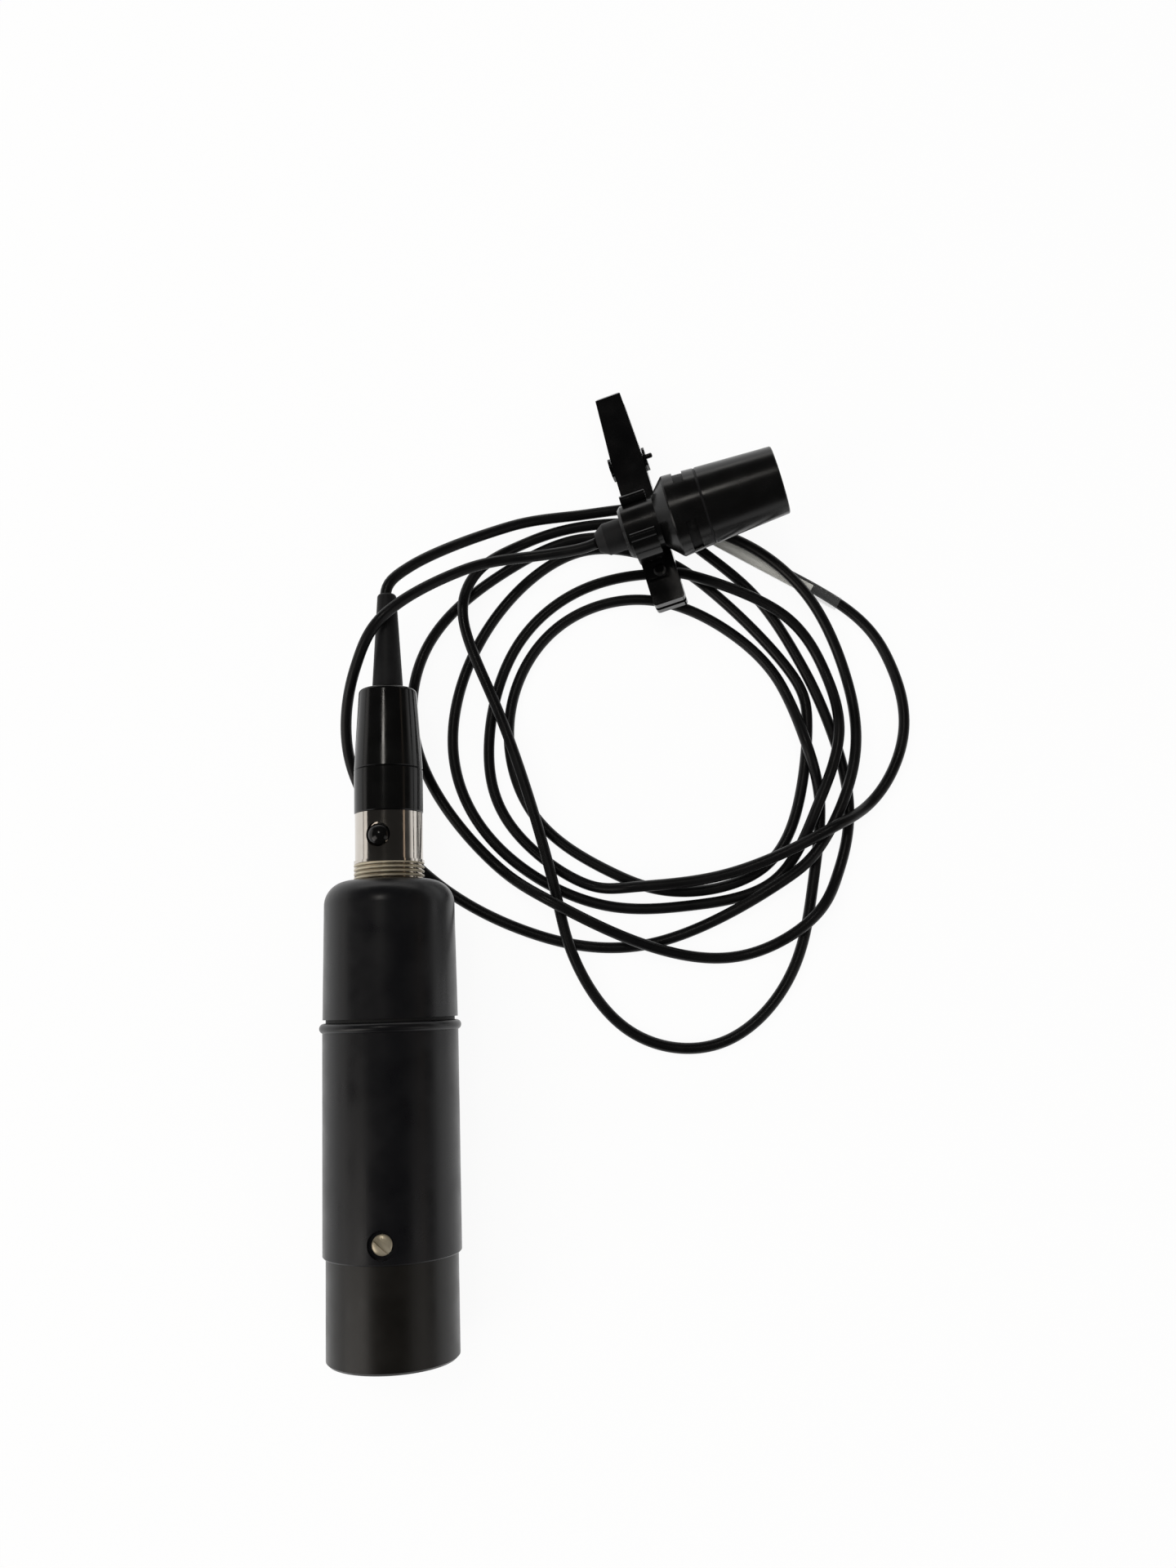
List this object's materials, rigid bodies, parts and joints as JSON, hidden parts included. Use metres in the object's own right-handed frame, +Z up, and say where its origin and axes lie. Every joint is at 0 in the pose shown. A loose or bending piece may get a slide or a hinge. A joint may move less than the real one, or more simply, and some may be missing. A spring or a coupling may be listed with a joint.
{
  "type": "lavalier microphone",
  "caption": "Lapel microphone in a tie clip, with a thin looped cable plugged into a slim tubular in-line preamp with a three-pin connector.",
  "frame": {"origin": "middle of the whole part's footprint on the surface that it lies on, without the free cable", "axes": "+Z up; +Y along the preamp, from its three-pin end to its jack; -Y is the way that a holder slides off the preamp's barrel"},
  "size_m": [0.0931, 0.1482, 0.0213],
  "materials": {
    "body_black": "satin black paint",
    "shell_black": "satin black paint, a little browner",
    "mic_black": "satin black anodised",
    "nickel": "bright nickel plate",
    "screw_steel": "nickel-plated steel",
    "contact": "gold-plated contact",
    "insert_plastic": "moulded insulator",
    "plug_plastic": "glossy black",
    "boot_rubber": "matte soft rubber",
    "cord_jacket": "satin jacket",
    "label_white": "plain white film",
    "label_clear": "clear shrink sleeve",
    "board_green": "solder mask",
    "can_blue": "sleeved capacitor",
    "film_red": "dipped film capacitor",
    "component_black": "moulded package",
    "resistor_tan": "lacquered body",
    "mesh_steel": "woven or pierced metal",
    "felt": "acoustic felt",
    "capsule_metal": "bare can",
    "clip_plastic": "semi-gloss black",
    "dark_steel": "blackened steel",
    "spring_steel": "spring wire"
  },
  "bodies": {
    "root": {"xlr_shell": "shell_black", "xlr_insert": "insert_plastic", "xlr_pins": "contact", "body_tube": "body_black", "retaining_screw": "screw_steel", "spacer_ring": "insert_plastic", "top_cap": "body_black", "circuit_board": "board_green", "electrolytic_capacitors": "can_blue", "film_capacitors": "film_red", "transistors": "component_black", "resistors": "resistor_tan", "jack_barrel": "nickel", "jack_nut": "nickel", "jack_insert": "insert_plastic", "jack_pins": "contact", "plug_nose": "nickel", "plug_insert": "insert_plastic", "plug_sockets": "contact", "plug_front_shell": "plug_plastic", "plug_rear_shell": "plug_plastic", "plug_relief": "boot_rubber", "cord_clamp": "nickel", "latch_leaf": "spring_steel", "cord": "cord_jacket", "label_band": "label_white", "label_sleeve": "label_clear", "back_jaw": "clip_plastic", "hinge_pin": "dark_steel", "clip_spring": "spring_steel"},
    "clip_front": {"front_jaw": "clip_plastic", "mic_ring": "clip_plastic", "ring_rivet": "dark_steel"},
    "mic_head": {"front_tube": "mic_black", "front_mesh": "mesh_steel", "acoustic_felt": "felt", "capsule": "capsule_metal", "capsule_sleeve": "insert_plastic", "capsule_board": "board_green", "seal_ring": "boot_rubber", "rear_housing": "mic_black", "slot_mesh": "mesh_steel", "cable_boot": "boot_rubber"},
    "latch": {"latch_button": "plug_plastic"}
  },
  "joints": [
    {"name": "jaw_open", "type": "hinge", "parent": "root", "child": "clip_front", "pos_m": [0.01209, 0.06168, 0.00425], "axis": [-0.9525, -0.2375, -0.1908], "range_deg": [0, 13], "stiffness_Nm_per_rad": 0.05, "springref_deg": -20.05, "deforming": ["clip_spring", "cord"]},
    {"name": "mic_turn", "type": "hinge", "parent": "clip_front", "child": "mic_head", "pos_m": [0.01401, 0.04782, 0.01192], "axis": [0.9525, 0.2375, 0.1908], "range_deg": [-90, 90], "deforming": ["cord"]},
    {"name": "latch_press", "type": "slide", "parent": "root", "child": "latch", "axis": [0.1908, 0, -0.9816], "range_m": [0, 0.0007], "stiffness_N_per_m": 1500, "springref_m": -0.0004, "deforming": ["latch_leaf"]}
  ]
}
